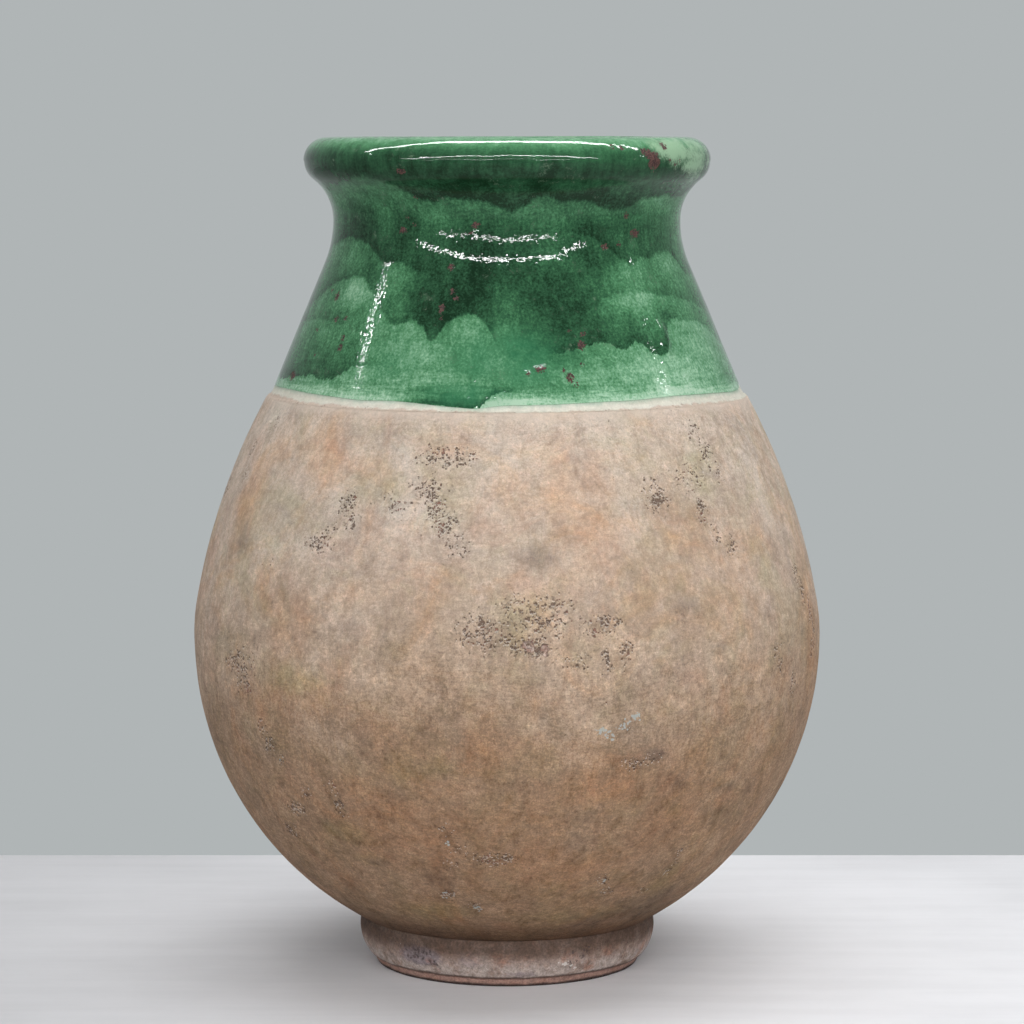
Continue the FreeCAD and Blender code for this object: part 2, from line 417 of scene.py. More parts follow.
neck_marks = {
    "deep": [
        (-4, 605, 60, 45, 1), (-18, 575, 30, 30, 0.8), (12, 575, 40, 40, 0.9), (-33, 625, 20, 20, 0.7),
        (25, 610, 30, 30, 0.8), (0, 655, 120, 20, 0.6), (-80, 540, 10, 60, 0.5), (12, 532, 30, 14, 0.5),
        (40, 631, 50, 18, 0.45), (-53, 634, 30, 18, 0.35), (150, 600, 80, 40, 0.8), (215, 590, 90, 50, 0.9),
        (180, 655, 200, 20, 0.7),
    ],
    "pale": [
        (-50, 573, 20, 14, 1.3), (-58, 595, 20, 12, 0.6), (-25, 530, 25, 20, 0.7), (-11, 545, 14, 12, 0.8),
        (-38, 505, 40, 14, 0.6), (45, 508, 60, 18, 1.4), (62, 530, 40, 40, 0.8), (41, 578, 34, 22, 1.3),
        (25, 500, 40, 12, 0.7), (1.5, 491, 22, 8, 1.2), (60, 590, 30, 25, 0.5), (-20, 508, 30, 14, 0.5),
        (60, 640, 30, 12, 0.4), (140, 520, 60, 25, 0.8), (185, 540, 50, 30, 0.7), (240, 510, 70, 22, 0.9),
    ],
    "worn": [
        (54, 689, 30, 12, 1), (66, 684, 34, 18, 0.85), (80, 682, 24, 16, 0.5), (160, 692, 30, 10, 0.6),
        (250, 690, 22, 8, 0.5),
    ],
    "emerald": [
        (1, 524, 50, 22, 1), (-10, 497, 34, 11, 1), (-30, 520, 24, 16, 0.4),
    ],
    "chip": [
        (44.2, 681, 8.5, 9.5, 1), (42.5, 686, 7, 5, 0.95), (40.7, 688, 5, 4, 0.9), (33.5, 691, 3, 4, 0.85),
        (30.5, 692, 3, 3, 0.8), (49.8, 692, 5, 5, 0.85), (50.6, 681, 3, 3, 0.8), (53.3, 678, 3, 3, 0.8),
        (55.3, 681, 3, 3, 0.75), (-30, 673, 7, 3.5, 0.85), (-29, 652, 3, 3, 0.75), (-35.1, 625, 5, 4, 0.85),
        (-33.2, 635, 3, 3, 0.75), (-30.5, 630, 3, 3, 0.75), (-9.7, 630, 5, 4, 0.85),
        (-11.5, 624, 3, 3, 0.75), (-17, 596, 4, 4, 0.85), (-15.7, 577, 3, 4, 0.8), (-14.5, 572, 4, 3, 0.8),
        (-18.3, 564, 4, 6, 0.85), (-18.1, 556, 3, 3, 0.75), (-58.3, 570, 5, 6, 0.85),
        (-62.8, 575, 4, 3, 0.75), (-61.7, 555, 3, 3, 0.7), (-54.5, 552, 5, 4, 0.8), (-50.2, 553, 4, 3, 0.8),
        (-62.7, 542, 4, 3, 0.75), (-48.7, 538, 4, 4, 0.8), (-48.6, 530, 4, 5, 0.85),
        (-59.2, 522, 3, 3, 0.75), (-67.8, 504, 9, 5, 0.85), (41.5, 637, 4, 4, 0.85),
        (45.4, 622, 8, 5, 0.85), (32.3, 612, 6, 4, 0.8), (38, 614, 4, 3, 0.75), (19.6, 535, 5, 6, 0.85),
        (20.4, 544, 4, 3, 0.8), (16.7, 546, 3, 3, 0.75), (18.9, 520, 3, 3, 0.75), (8.3, 517, 7, 4, 0.85),
        (5.2, 513, 3, 3, 0.75), (15.5, 510, 5, 6, 0.85), (14, 516, 3, 3, 0.8), (17, 504, 3, 4, 0.8),
    ] + scattered(34, (500, 690), (3, 6), (0.75, 0.9), 17),
    "drip": [(45.3, 538, 6.8, 14, 1)],
}

# Lines on the neck: the lower edges of the slip and of the glaze as (angle, level), and how far the glaze
# stops short of its end in the mouth as (angle, length)

slip_line = carried_on([
    (-85, 485.8), (-67, 486.6), (-55, 485), (-42, 485.6), (-32, 484.6), (-22, 485), (-13, 484.2),
    (-4, 483.8), (7, 483.2), (16, 483.8), (25, 484), (36, 484.8), (48, 485.4), (61, 484.5), (75, 482.8),
    (88, 482.8),
], 2, 21)
glaze_line = carried_on([
    (-83, 493), (-66, 493.5), (-55, 492.5), (-44, 491.5), (-38, 490.5), (-27, 491), (-20, 489.5),
    (-15, 488), (-10.6, 487), (-8, 486.3), (-5.7, 486.8), (-4, 487.8), (-1, 488.8), (5, 489.2), (12, 489.6),
    (21, 490.5), (31, 491), (43, 492.5), (57, 492), (78, 490.5),
], 5, 22)
inner_trim = carried_on([(-90, 6), (0, 9), (90, 4)], 5, 23)

# Curtains of glaze that ran down and stopped: how far each fades upward, how dark and how swollen it is, the
# softness of its edge, how uneven it is at the back, and its lower edge as (angle, level, strength)

Curtain = namedtuple("Curtain", "reach depth swell softness back_spread edge")
curtains = {
    # The brow's dark band under the rim is partly pooled glaze and partly painted shade under the rim
    "brow": Curtain(reach=30, depth=0.38, swell=0.1, softness=2.5, back_spread=8, edge=[
        (-78, 660, 0.7), (-58, 663, 0.7), (-42, 668, 0.6), (-34, 661, 0.8), (-28, 652, 1), (-23.6, 648, 1),
        (-17, 652, 1), (-11, 650, 1), (-5, 647, 1), (2.5, 642, 1), (6.7, 647, 1), (9.3, 653, 0.9),
        (17, 650, 0.8), (26, 649, 0.9), (32.6, 643, 0.9), (40, 643, 1), (51, 652, 0.9), (57, 652, 0.9),
        (72, 652, 0.8),
    ]),
    "upper": Curtain(reach=34, depth=0.38, swell=0.04, softness=2.2, back_spread=14, edge=[
        (-82, 606, 0.5), (-72, 613, 0.8), (-57, 617, 0.9), (-45, 606, 1), (-40.6, 598, 1), (-34, 599, 0.9),
        (-27, 593, 0.5), (-15, 590, 0), (0, 600, 0), (15, 620, 0.2), (25, 622, 0.5), (30, 616, 0.6),
        (35.5, 606, 0.7), (38, 601, 0.7), (48, 602, 0.7), (58, 605, 0.8), (66, 602, 0.8), (70, 590, 0.6),
        (80, 586, 0.4),
    ]),
    "middle": Curtain(reach=36, depth=0.38, swell=0.04, softness=2, back_spread=16, edge=[
        (-80, 560, 0.5), (-68.5, 572, 0.7), (-61, 581, 0.8), (-53, 586, 0.8), (-45.7, 582, 0.8),
        (-41.7, 573, 0.6), (-37, 560, 0.5), (-31.6, 549, 0.8), (-26.7, 554, 1), (-23, 548, 1),
        (-20.5, 539, 1), (-18.3, 542, 1), (-17, 550, 1), (-13.6, 557, 1), (-9.5, 560, 1), (-6.2, 553, 0.9),
        (-4, 544, 0.8), (-2.7, 535, 0.5), (4, 528, 0.2), (20, 560, 0.2), (35, 575, 0.5), (50, 572, 0.6),
        (64, 566, 0.5), (78, 556, 0.4),
    ]),
    "pool": Curtain(reach=28, depth=0.4, swell=0.1, softness=0.8, back_spread=16, edge=[
        (-79, 500, 0.9), (-63.6, 505, 1), (-57, 506, 1), (-53.6, 505, 1), (-49.6, 505, 1), (-46.5, 508, 1),
        (-43.7, 513, 0.8), (-39.6, 517, 0.4), (-33, 518, 0.1), (-20, 512, 0), (0, 515, 0), (10, 528, 0.3),
        (14, 530, 0.8), (17, 531, 1), (20, 533, 1), (23.4, 536, 1), (26.6, 536, 1), (29.8, 532, 1),
        (32, 530, 1), (34, 534, 1), (36, 536, 1), (38.2, 532, 1), (40.2, 528, 1), (43.2, 524, 1),
        (45.9, 528, 1), (47.5, 540, 0.9), (49.5, 549, 0.6), (55, 552, 0.3), (66, 548, 0.2), (80, 530, 0.4),
    ]),
    "low": Curtain(reach=16, depth=0.26, swell=0, softness=1.8, back_spread=10, edge=[
        (-83, 546, 0.6), (-72, 549, 0.6), (-60, 551, 0.6), (-52, 549, 0.6), (-45, 546, 0.5),
        (-40, 540, 0.2), (-34, 535, 0), (0, 540, 0), (44, 556, 0), (49, 553, 0.5), (56, 552, 0.6),
        (64, 549, 0.6), (74, 545, 0.5), (84, 545, 0.4),
    ]),
    "run": Curtain(reach=6, depth=0.55, swell=0, softness=0.8, back_spread=2, edge=[
        (-83, 480, 0), (-30, 482, 0), (-24, 489, 0.3), (-20, 489.5, 0.7), (-15, 488, 1), (-10.6, 487, 1),
        (-8, 486.3, 1), (-5.7, 488, 1), (-4.5, 492, 1), (-3.2, 496.5, 1), (0, 499, 0.6), (4, 498, 0),
        (83, 482, 0),
    ]),
}


# Meshes

def put(name, data):
    """An object of some data, in the scene."""
    made = bpy.data.objects.new(name, data)
    bpy.context.scene.collection.objects.link(made)
    return made


def ring(name, skin, hidden, relief, fields, sunk=0):
    """A closed turned piece: a skin with relief and fields for its material, and a plain back to close it."""
    columns = skin.radius.shape[1]
    grid = np.concatenate([skin.points(relief), hidden.points(sunk)])
    rows = len(grid)
    shown = len(skin.radius)
    row, column = np.meshgrid(np.arange(rows), np.arange(columns), indexing="ij")
    above, beside = (row + 1) % rows, (column + 1) % columns
    corners = np.stack([row * columns + column, row * columns + beside,
                        above * columns + beside, above * columns + column], axis=-1).reshape(-1, 4)
    mesh = bpy.data.meshes.new(name)
    mesh.from_pydata(grid.reshape(-1, 3).tolist(), [], corners.tolist())
    mesh.shade_smooth()
    mesh.set_sharp_from_angle(angle=crease_angle)

    height = np.concatenate([np.linspace(0, back_share_start, shown),
                             np.linspace(back_share_start, 1, rows - shown + 2)[1:]])
    across = np.stack([column, column + 1, column + 1, column], axis=-1) / columns
    upward = np.stack([height[row], height[row], height[row + 1], height[row + 1]], axis=-1)
    layer = mesh.uv_layers.new(name="OFBake")
    layer.uv.foreach_set("vector", np.stack([across, upward], axis=-1).ravel())

    for field, values in fields.items():
        padded = np.concatenate([values, np.repeat(values[-1:], rows - shown, axis=0)])
        mesh.attributes.new(field, "FLOAT", "POINT").data.foreach_set("value", padded.ravel())
    return put(name, mesh)


def settle(piece, node, material):
    """Put a piece in the place of its CAD node."""
    piece.data.materials.append(material)
    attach(piece, "root")
    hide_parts(node)


def thrown(skin, ringed=1.0):
    """Hand-made unevenness, the same for every piece so that neighbours meet."""
    points = skin.points()
    swell = swell_height * grain(points, swell_size)
    dents = dent_height * grain(points + dent_shift, dent_size)
    rings = ring_height * grain(points + ring_shift, ring_size)
    return swell + dents + ringed * rings


def worn(skin, fields):
    """The belly's relief: thrown unevenness, sunk where the skin has pitted or spalled."""
    ragged = pit_middle + pit_middle * grain(skin.points() + pit_shift, pit_raggedness)
    pitted = pit_depth * fields["pits"] * ragged
    spalled = spall_depth * np.clip((fields["spall"] - spall_start) * spall_slope, 0, 1)
    return thrown(skin) - pitted - spalled


# Pieces

def make_foot(material):
    sole_top = foot_radius - foot_tuck - sole_step
    step = (foot_radius - foot_tuck, sole_band_height)
    top = (foot_radius, foot_height)
    slab = foot_radius - foot_ring_width
    bore = slab - slab_ledge
    ledge = foot_height - slab_thickness
    chord = math.dist(step, top)
    radius = (chord ** 2 / 4 + foot_band_crown ** 2) / (2 * foot_band_crown)
    lean = angle_to(step, top) - math.pi / 2
    middle = ((step[0] + top[0]) / 2, (step[1] + top[1]) / 2)
    centre = polar(middle, foot_band_crown - radius, lean)
    section = path(line((bore, 0), (sole_top - sole_bevel, 0), coarse),
                   line((sole_top - sole_bevel, 0), (sole_top, sole_band_height), finer),
                   line((sole_top, sole_band_height), step, finer),
                   arc(centre, radius, angle_to(centre, step), angle_to(centre, top), finer))
    skin = Skin(section, neck_columns)
    back = Skin(path(line((slab, foot_height), (slab, ledge), coarse),
                     line((slab, ledge), (bore, ledge), coarse)), neck_columns)
    relief = thrown(skin) * np.clip(skin.level / sole_band_height, 0, 1)
    piece = ring("turned_foot", skin, back, relief, skin.fields(foot_marks))
    settle(piece, "foot_ring", material)


def make_wall(name, node, section, inside, material):
    """A half of the belly: its marked outside and its plain inside."""
    skin = Skin(section, belly_columns)
    fields = skin.fields(belly_marks)
    fields["slip"] = skin.above(slip_line)
    back = Skin(inside[::-1], belly_columns)
    piece = ring(name, skin, back, worn(skin, fields), fields)
    settle(piece, node, material)


def make_lower_belly(material):
    make_wall("lower_belly_wall", "lower_belly", lower_arc(0, fine), lower_arc(belly_wall, coarse), material)


def make_upper_belly(material):
    wall, centre, lean = shoulder_lip()
    edge = arc(centre, shoulder_round, lean, math.pi / 2, shoulder_round / 4)
    inside = upper_arcs(belly_wall, seam_level, coarse)
    make_wall("upper_belly_wall", "upper_belly", path(wall, edge), inside, material)


def make_slip(material):
    coat = coat_path(slip_thickness, finer)
    above = coat[np.argmax(coat[:, 1] > seam_level + cove_height):]
    _, centre, lean = shoulder_lip()
    toe = polar(centre, shoulder_round + cove_edge, (lean + math.pi / 2) / 2)
    share = np.linspace(0, 1, cove_points)[:, None]
    cove = (1 - share) ** 2 * toe + 2 * share * (1 - share) * coat[0] + share ** 2 * above[0]
    skin = Skin(path(cove, above), neck_columns)
    under_glaze = np.clip((skin.level - glaze_margin_level) / fine, 0, 1)
    relief = thrown(skin) - slip_tuck * under_glaze
    fields = {"slip": skin.above(slip_line), "edge": skin.above(glaze_line)}
    back = Skin(coat_path(0, coarse)[::-1], neck_columns)
    piece = ring("cream_slip", skin, back, relief, fields, back_sink - thrown(back))
    settle(piece, "slip_coat", material)


def make_glaze(material):
    section = coat_path(slip_thickness, finer)
    degrees = all_round(neck_columns)
    first = section[1] - section[0]
    slope = np.linalg.norm(first) / first[1]
    start = (mm * around(glaze_line, degrees) - section[0][1]) * slope
    trim = mm * around(inner_trim, degrees)
    skin = Skin(section, neck_columns, start, trim)
    fields = skin.fields(neck_marks)
    fields["edge"] = skin.above(glaze_line)
    thick = np.full_like(skin.radius, glaze_shares["thin"])
    for order, (name, curtain) in enumerate(curtains.items()):
        heights = [(angle, level) for angle, level, _ in curtain.edge]
        strengths = [(angle, strength) for angle, _, strength in curtain.edge]
        over = skin.above(carried_on(heights, curtain.back_spread, height_seed + order))
        strengths = carried_on(strengths, strength_spread, strength_seed + order)
        strength = np.clip(around(strengths, skin.degrees), 0, 1)
        fields[name] = over
        fields[name + "_strength"] = strength
        fade = np.exp(-np.maximum(over, 0) / (swell_fade * curtain.reach * mm))
        thick += curtain.swell * strength * np.clip(over / pool_edge, 0, 1) * fade
    inside = (skin.out < 0) | (skin.level > bead_level)
    thick = np.clip(np.where(inside, glaze_shares["mouth"], thick), glaze_shares["least"], 1)
    calm = np.clip(fields["edge"] / calm_edge, calm_share, 1)
    lumps = glaze_lump * grain(skin.points() + glaze_lump_shift, glaze_lump_size) * calm
    chipped = chip_depth * np.clip((fields["chip"] - chip_start) * chip_slope, 0, 1)
    drip = drip_rise * fields["drip"]
    relief = thrown(skin, glaze_ringed) + glaze_thickness * thick + lumps - chipped + drip
    back = Skin(coat_path(slip_thickness, coarse)[::-1], neck_columns, trim, start)
    piece = ring("green_glaze_coat", skin, back, relief, fields, back_sink - thrown(back))
    settle(piece, "green_glaze", material)


# Materials

pit_size = 0.0027
pinhole_size = 0.0016
# How far down the painted highlight under each pit is drawn
pit_highlight_drop = 0.0012
fleck_edge = 0.14
fleck_room = 0.62
fleck_chances = (-0.1, 0.35)
fleck_bend = 1.4
fleck_bend_size = 0.7
grain_reach = (0.25, 0.75)
junction_shadow = 0.034
clay_shine = 0.25
slip_shine = 0.35
glaze_shine = 0.17
glaze_roughness = 0.025
lining_shine = 0.5
floor_shine = 0.2
floor_roughness = 0.7


def screen(red, green, blue):
    """A colour in screen values, 0 to 255, as linear light."""
    values = [value / 255 for value in (red, green, blue)]
    return tuple(v / 12.92 if v <= 0.04045 else ((v + 0.055) / 1.055) ** 2.4 for v in values) + (1,)


class Shade:
    """A material, or the world's light, in the making: each call adds a node and gives its output."""

    def __init__(self, name, library=bpy.data.materials):
        self.owner = library.new(name)
        self.owner.use_nodes = True
        self.tree = self.owner.node_tree
        self.tree.nodes.clear()

    @cached_property
    def place(self):
        return self.add("TexCoord", output="Object")

    def add(self, kind, inputs=(), output=0, **settings):
        node = self.tree.nodes.new("ShaderNode" + kind)
        for name, value in settings.items():
            setattr(node, name, value)
        for name, value in dict(inputs).items():
            if isinstance(value, bpy.types.NodeSocket):
                self.tree.links.new(value, node.inputs[name])
            else:
                node.inputs[name].default_value = value
        return node.outputs[output] if node.outputs else None

    def field(self, name):
        return self.add("Attribute", output="Fac", attribute_name=name)

    def axis(self, name):
        return self.add("SeparateXYZ", {"Vector": self.place}, output=name)

    def maths(self, operation, first, second):
        return self.add("Math", {0: first, 1: second}, operation=operation)

    def plus(self, first, second):
        return self.maths("ADD", first, second)

    def minus(self, first, second):
        return self.maths("SUBTRACT", first, second)

    def times(self, first, second):
        return self.maths("MULTIPLY", first, second)

    def larger(self, first, second):
        return self.maths("MAXIMUM", first, second)

    def noise(self, size, detail=2.0, roughness=0.5, stretch=(1, 1, 1), shift=0.0, twist=0.0, tilt=0.0):
        """Noise from 0 to 1 with lumps of a size; a stretch under 1 along an axis makes streaks along it."""
        place = self.add("Mapping", {"Vector": self.place, "Location": (shift, shift, shift),
                                     "Rotation": (0.0, tilt, 0.0), "Scale": stretch})
        return self.add("TexNoise", {"Vector": place, "Scale": 1 / size, "Detail": detail,
                                     "Roughness": roughness, "Distortion": twist})

    def swing(self, pattern, amount):
        """A pattern from 0 to 1, made to swing to both sides of 0."""
        return self.times(self.plus(pattern, -0.5), amount)

    def step(self, value, low, high, to_low=0.0, to_high=1.0):
        """A smooth step as a value goes from low to high."""
        return self.add("MapRange", {"Value": value, "From Min": low, "From Max": high, "To Min": to_low,
                                     "To Max": to_high}, interpolation_type="SMOOTHSTEP")

    def mix(self, factor, first, second, blend="MIX"):
        return self.add("Mix", {0: factor, 6: first, 7: second}, output=2, data_type="RGBA", blend_type=blend)

    def cover(self, share, other, blend="MIX"):
        """Cover a share of the colour so far with another."""
        self.colour = self.mix(share, self.colour, other, blend)

    def paint(self, share, *colour):
        self.cover(share, screen(*colour))

    def tint(self, share, *tint):
        self.cover(share, tint + (1,), "MULTIPLY")

    def grey(self, value, share=1.0):
        """Make the colour so far darker or lighter by a value around 1."""
        self.cover(share, self.add("CombineColor", {0: value, 1: value, 2: value}), "MULTIPLY")

    def grain(self, patterns, share=1.0):
        """Make the colour so far darker and lighter by (pattern, least, most) one after the other."""
        for pattern, least, most in patterns:
            self.grey(self.step(pattern, *grain_reach, least, most), share)

    def ramp(self, value, stops):
        """Start with screen colours at places from 0 to 1 of a value."""
        node = self.tree.nodes.new("ShaderNodeValToRGB")
        self.tree.links.new(value, node.inputs[0])
        while len(node.color_ramp.elements) < len(stops):
            node.color_ramp.elements.new(0.5)
        for element, (place, colour) in zip(node.color_ramp.elements, stops.items()):
            element.position = place
            element.color = screen(*colour)
        self.colour = node.outputs[0]

    def flecks(self, density, size, shift=0.0, drop=0.0):
        """Ragged flecks of a size, as many as a density from 0 to 1 asks for: above 0 inside a fleck.

        With a drop, the same flecks lie that much lower.
        """
        place = self.add("Mapping", {"Vector": self.place, "Location": (0.0, 0.0, drop)})
        bends = {"Vector": place, "Scale": fleck_bend_size / size, "Detail": 2.0}
        wander = self.add("TexNoise", bends, output="Color")
        moved = self.add("MixRGB", {0: fleck_bend * size, 1: place, 2: wander}, blend_type="ADD")
        shifted = self.add("Mapping", {"Vector": moved, "Location": (shift, shift, shift)})
        cells = {"Vector": shifted, "Scale": 1 / size}
        distance = self.add("TexVoronoi", cells, output="Distance")
        chance = self.add("SeparateColor", {0: self.add("TexVoronoi", cells, output="Color")}, output=0)
        room = self.times(self.step(self.minus(density, chance), *fleck_chances), fleck_room)
        return self.minus(room, distance)

    def filled(self, flecks, most=1.0):
        """How far the colour of flecks covers what lies under them."""
        return self.step(flecks, 0.0, fleck_edge, 0.0, most)

    def bump(self, height, distance, normal=None):
        inputs = {"Height": height, "Distance": distance}
        if normal:
            inputs["Normal"] = normal
        return self.add("Bump", inputs)

    def surface(self, roughness, shine, normal=None):
        """The material, finished with the colour so far."""
        inputs = {"Base Color": self.colour, "Roughness": roughness, "Specular IOR Level": shine}
        if normal:
            inputs["Normal"] = normal
        self.add("OutputMaterial", {"Surface": self.add("BsdfPrincipled", inputs)})
        return self.owner


def limewashed_clay():
    """Aged earthenware under a rubbed limewash: clouded, stained, brushed, speckled and pitted."""
    shade = Shade("limewashed_clay")
    level = shade.step(shade.axis("Z"), foot_height, seam_level)
    low_down = shade.step(level, 0.75, 0.15, 0.35, 1.0)
    broad = shade.noise(0.11, 4, 0.55, twist=0.8)
    lean = shade.plus(level, shade.swing(broad, 0.5))
    shade.ramp(lean, {0.0: (150, 122, 98), 0.3: (156, 128, 103), 0.55: (180, 156, 134), 0.8: (192, 171, 153),
                      1.0: (197, 180, 164)})

    # Broad veils of other tones, and stains where the photograph shows them
    for tint, size, shift in (((0.87, 0.91, 0.82), 0.075, 21.3), ((1.05, 0.94, 0.90), 0.055, 23.8),
                              ((1.05, 0.93, 0.80), 0.065, 26.1), ((1.10, 1.15, 1.18), 0.050, 28.7),
                              ((0.78, 0.76, 0.75), 0.045, 31.2)):
        veil = shade.noise(size, 6, 0.68, shift=shift, twist=1.2)
        shade.tint(shade.step(veil, 0.47, 0.72, 0.0, 0.8), *tint)
    stains = (("rust", (0.99, 0.90, 0.82), 0.045, 1.7), ("rust", (1.01, 0.93, 0.88), 0.060, 11.4),
              ("moss", (0.84, 0.90, 0.76), 0.05, 2.3), ("ash", (0.66, 0.68, 0.72), 0.036, 4.9),
              ("chalk", (1.12, 1.17, 1.22), 0.05, 6.1))
    for field, tint, size, shift in stains:
        patch = shade.noise(size, 7, 0.7, shift=shift, twist=0.8)
        cover = shade.plus(shade.times(shade.field(field), 0.40), patch)
        shade.tint(shade.step(cover, 0.46, 0.92), *tint)

    # Smudges, streaks and worn wash
    smudge = shade.noise(0.020, 6, 0.72, stretch=(1, 1, 0.5), shift=41.7, twist=0.8)
    shade.tint(shade.times(shade.step(smudge, 0.50, 0.66), low_down), 0.75, 0.73, 0.67)
    streak = shade.noise(0.012, 6, 0.72, stretch=(1, 1, 0.4), shift=44.2, twist=0.5)
    shade.tint(shade.step(streak, 0.52, 0.66), 0.88, 0.85, 0.83)
    gleam = shade.noise(0.014, 6, 0.72, stretch=(1, 1, 0.5), shift=47.5, twist=0.5)
    shade.tint(shade.step(gleam, 0.52, 0.66), 1.10, 1.10, 1.12)
    for size, shift, tint in ((0.030, 33.1, (0.92, 0.91, 0.89)), (0.022, 35.9, (1.06, 1.07, 1.07)),
                              (0.014, 37.4, (0.93, 0.92, 0.91))):
        worn_wash = shade.step(shade.noise(size, 9, 0.74, shift=shift, twist=1.4), 0.52, 0.60)
        shade.tint(worn_wash, *tint)

    # Grain, rougher low down, and painted shade just above the foot
    cloud = shade.noise(0.030, 5, 0.68, shift=3.1, twist=1.0)
    dabs = shade.noise(0.0065, 4, 0.65, shift=14.3, twist=0.6)
    drawn = shade.noise(0.0026, 4, 0.65, stretch=(1, 1, 0.30), shift=5.5)
    wiped = shade.noise(0.0022, 4, 0.65, stretch=(0.28, 0.28, 1), shift=8.2)
    slanted = shade.noise(0.0024, 4, 0.65, stretch=(0.3, 1, 1), shift=1.9, tilt=0.6)
    mottle = shade.noise(0.0030, 4, 0.7, shift=2.7)
    speck = shade.noise(0.0012, 2, 0.6, shift=4.4)
    rougher = shade.step(level, 0.9, 0.5, 0.6, 1.0)
    shade.grain(((cloud, 0.80, 1.14), (dabs, 0.87, 1.11), (drawn, 0.89, 1.10), (wiped, 0.89, 1.11),
                 (slanted, 0.88, 1.11), (mottle, 0.84, 1.14), (speck, 0.79, 1.19)), rougher)
    straws = shade.step(shade.noise(0.0017, 3, 0.6, stretch=(1, 1, 0.4), shift=19.6), 0.58, 0.70)
    shade.tint(shade.times(straws, low_down), 1.22, 1.20, 1.16)
    crumbs = shade.step(shade.noise(0.0021, 3, 0.65, shift=15.2), 0.58, 0.70)
    shade.tint(shade.times(crumbs, low_down), 0.75, 0.71, 0.67)
    # Painted shade: darker just above the foot, where the belly turns under into shadow
    painted_junction_shade = shade.step(shade.axis("Z"), foot_height + junction_shadow, foot_height)
    shade.tint(painted_junction_shade, 0.40, 0.34, 0.31)

    # Pits with painted highlights on their lower edges, and pale flakes between them
    pitted = shade.field("pits")
    stray = shade.step(shade.noise(0.05, 3, 0.6, shift=12.0), 0.58, 0.80, 0.03, 0.30)
    uneven = shade.step(shade.noise(0.010, 3, 0.6, shift=9.4), 0.32, 0.68, 0.5, 1.2)
    density = shade.times(shade.larger(pitted, stray), uneven)
    pits_density = shade.times(density, 0.66)
    pinholes_density = shade.times(density, 0.72)
    sunken, below = [shade.larger(shade.flecks(pits_density, pit_size, 0.0, drop),
                                  shade.flecks(pinholes_density, pinhole_size, 0.31, drop))
                     for drop in (0.0, pit_highlight_drop)]
    flakes = shade.filled(shade.flecks(shade.times(pitted, 0.40), pit_size, 0.57))
    shade.paint(shade.times(flakes, 0.40), 208, 194, 180)
    # Painted highlight: the same pits a little lower, painted pale, so that each pit shows a lit lower edge
    shade.paint(shade.filled(below, 0.50), 214, 202, 190)
    reddish = shade.step(shade.noise(0.012, 2, 0.5, shift=17.0), 0.55, 0.65)
    core = shade.mix(reddish, screen(86, 63, 48), screen(122, 78, 62))
    shade.cover(shade.filled(sunken, 0.86), core)

    # Spalls with a dark lip, lichen, and a smear of slip under the neck
    torn = shade.plus(shade.field("spall"), shade.swing(shade.noise(0.006, 4, 0.65, shift=6.9), 1.5))
    flaking = shade.step(shade.noise(0.004, 4, 0.6, shift=7.9), 0.4, 0.6)
    inside = shade.mix(flaking, screen(150, 114, 100), screen(200, 178, 166))
    shade.cover(shade.step(torn, 0.50, 0.58, 0.0, 0.8), inside)
    lip = shade.times(shade.step(torn, 0.42, 0.50), shade.step(torn, 0.64, 0.54))
    shade.paint(shade.times(lip, 0.55), 96, 74, 62)
    crust = shade.filled(shade.flecks(shade.field("lichen"), 0.0024, 0.77), 0.8)
    shade.paint(crust, 166, 173, 169)
    ragged = shade.swing(shade.noise(0.012, 4, 0.6), 0.008)
    smear = shade.step(shade.plus(shade.field("slip"), ragged), -0.012, 0.0, 0.0, 0.5)
    shade.paint(smear, 208, 192, 178)

    dish = shade.step(sunken, -0.20, 0.16)
    normal = shade.bump(shade.minus(flakes, dish), 0.0011)
    normal = shade.bump(shade.plus(mottle, shade.times(dabs, 0.6)), 0.0007, normal)
    normal = shade.bump(speck, 0.0003, normal)
    return shade.surface(shade.step(mottle, 0.2, 0.8, 0.82, 0.96), clay_shine, normal)


